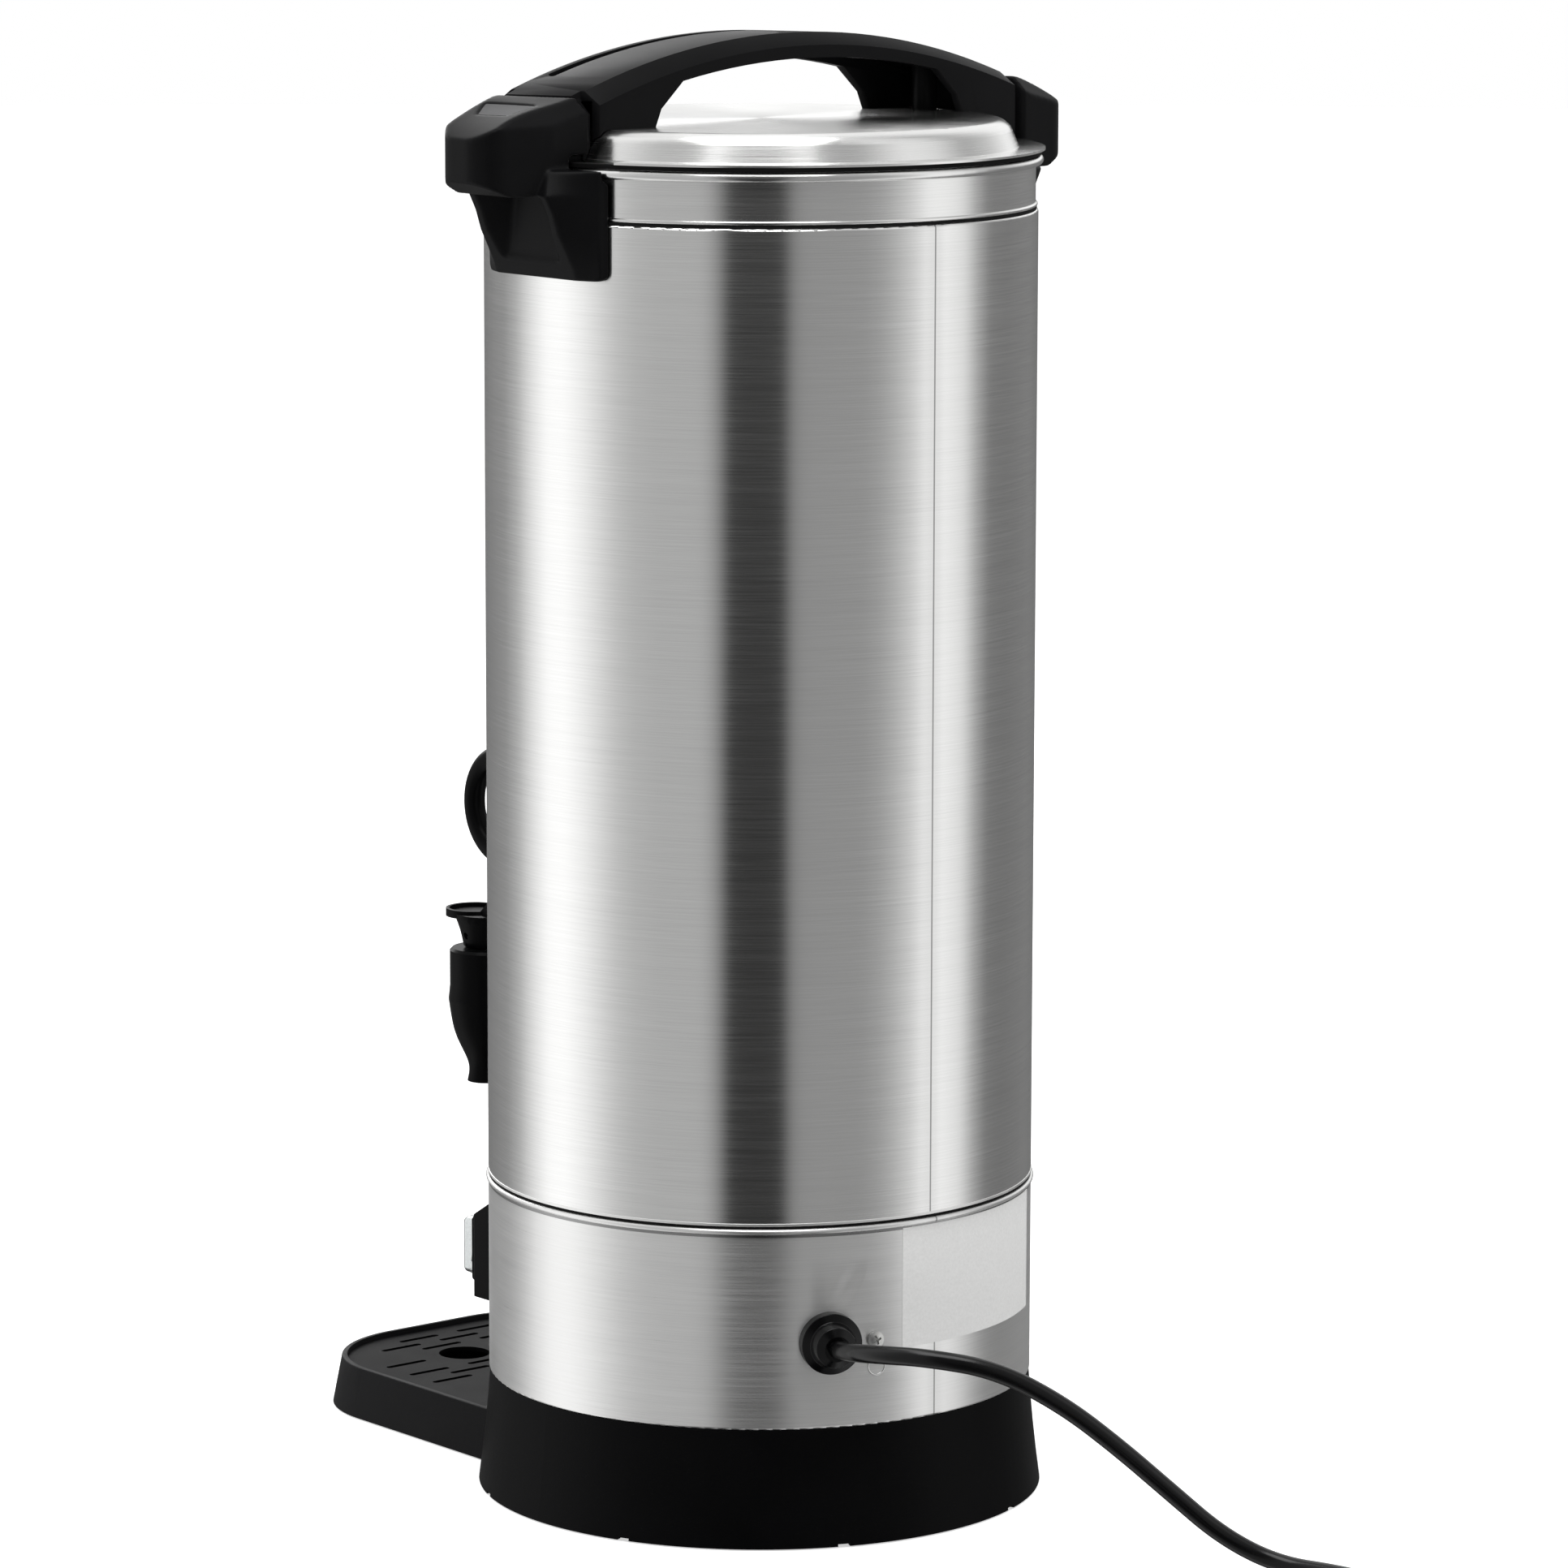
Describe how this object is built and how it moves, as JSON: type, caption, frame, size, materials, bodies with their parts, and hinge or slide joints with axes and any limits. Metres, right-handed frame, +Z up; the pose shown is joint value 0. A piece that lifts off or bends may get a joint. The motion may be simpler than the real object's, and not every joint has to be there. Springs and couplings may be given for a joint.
{
  "type": "coffee urn",
  "caption": "Electric coffee urn with twist-lock lid, stay-cool side handles, lever tap, level gauge, switch panel and removable drip tray.",
  "frame": {"origin": "centre of the base skirt's bottom ring, on the surface the urn stands on", "axes": "+Z up along the vessel's axis, -Y towards the tap (front), +X towards the user's right-hand handle seen from behind the urn, which is the left handle in the picture"},
  "size_m": [0.3028, 0.6087, 0.5924],
  "materials": {
    "steel": "satin, drawn around the body",
    "polished": "polished",
    "zinc": "plain zinc plate",
    "black": "satin moulded",
    "grey": "satin",
    "silicone": "translucent grey",
    "feet": "matte",
    "clear": "clear",
    "lens": "tinted lens",
    "jacket": "flexible cord jacket",
    "brass": "plain",
    "alu": "plain mill",
    "enamel": "ceramic body"
  },
  "bodies": {
    "urn": {"inner_tank": "steel", "outer_shell": "steel", "base_band": "steel", "base_skirt": "black", "bottom_cover": "zinc", "rubber_feet": "feet", "bottom_screws": "zinc", "boil_element": "polished", "warming_element": "polished", "thermostat": "enamel", "thermal_fuse": "enamel", "heat_shield": "alu", "shield_posts": "zinc", "terminal_block": "black", "wiring": "jacket", "cord_bushing": "black", "ground_screw": "brass", "right_handle": "black", "left_handle": "black", "right_insert": "grey", "left_insert": "grey", "handle_screws": "zinc", "tap_body": "black", "tap_bonnet": "black", "tap_washers": "silicone", "tap_nut": "black", "gauge_glass": "clear", "gauge_guard": "polished", "gauge_cap": "black", "pump_stem": "polished", "coffee_basket": "steel", "basket_cover": "steel", "control_panel": "black", "rocker_frame": "black", "switch_cover": "clear", "pilot_lamps": "lens", "cord": "jacket", "cord_tail": "jacket", "cord_coil": "jacket", "plug": "black", "plug_blades": "brass"},
    "lid": {"lid_shell": "steel", "lid_gasket": "silicone", "lid_bar": "black", "bar_liner": "black", "bar_screws": "zinc"},
    "valve_stem": {"tap_stem": "polished", "seat_cup": "silicone", "lever_pin": "polished"},
    "lever": {"tap_lever": "black"},
    "rocker": {"rocker_switch": "black"},
    "tray": {"drip_tray": "black"},
    "grid": {"drip_grid": "black"}
  },
  "joints": [
    {"name": "lid_twist", "type": "hinge", "parent": "urn", "child": "lid", "pos_m": [0, 0, 0.546], "axis": [0, 0, 1], "range_deg": [-9, 0]},
    {"name": "tap_stem_lift", "type": "slide", "parent": "urn", "child": "valve_stem", "axis": [0, 0, 1], "range_m": [0, 0.003]},
    {"name": "tap_lever_tilt", "type": "hinge", "parent": "valve_stem", "child": "lever", "pos_m": [0, -0.185, 0.2], "axis": [1, 0, 0], "range_deg": [0, 20]},
    {"name": "switch_rock", "type": "hinge", "parent": "urn", "child": "rocker", "pos_m": [0.039, -0.1245, 0.0792], "axis": [1, 0, 0], "range_deg": [0, 10]},
    {"name": "tray_slide", "type": "slide", "parent": "urn", "child": "tray", "axis": [0, -1, 0], "range_m": [0, 0.12]},
    {"name": "grid_lift", "type": "slide", "parent": "tray", "child": "grid", "axis": [0, 0, 1], "range_m": [0, 0.03]}
  ],
  "couplings": [
    {"joint": "tap_stem_lift", "follows": "tap_lever_tilt", "m_per_rad": 0.0085}
  ]
}
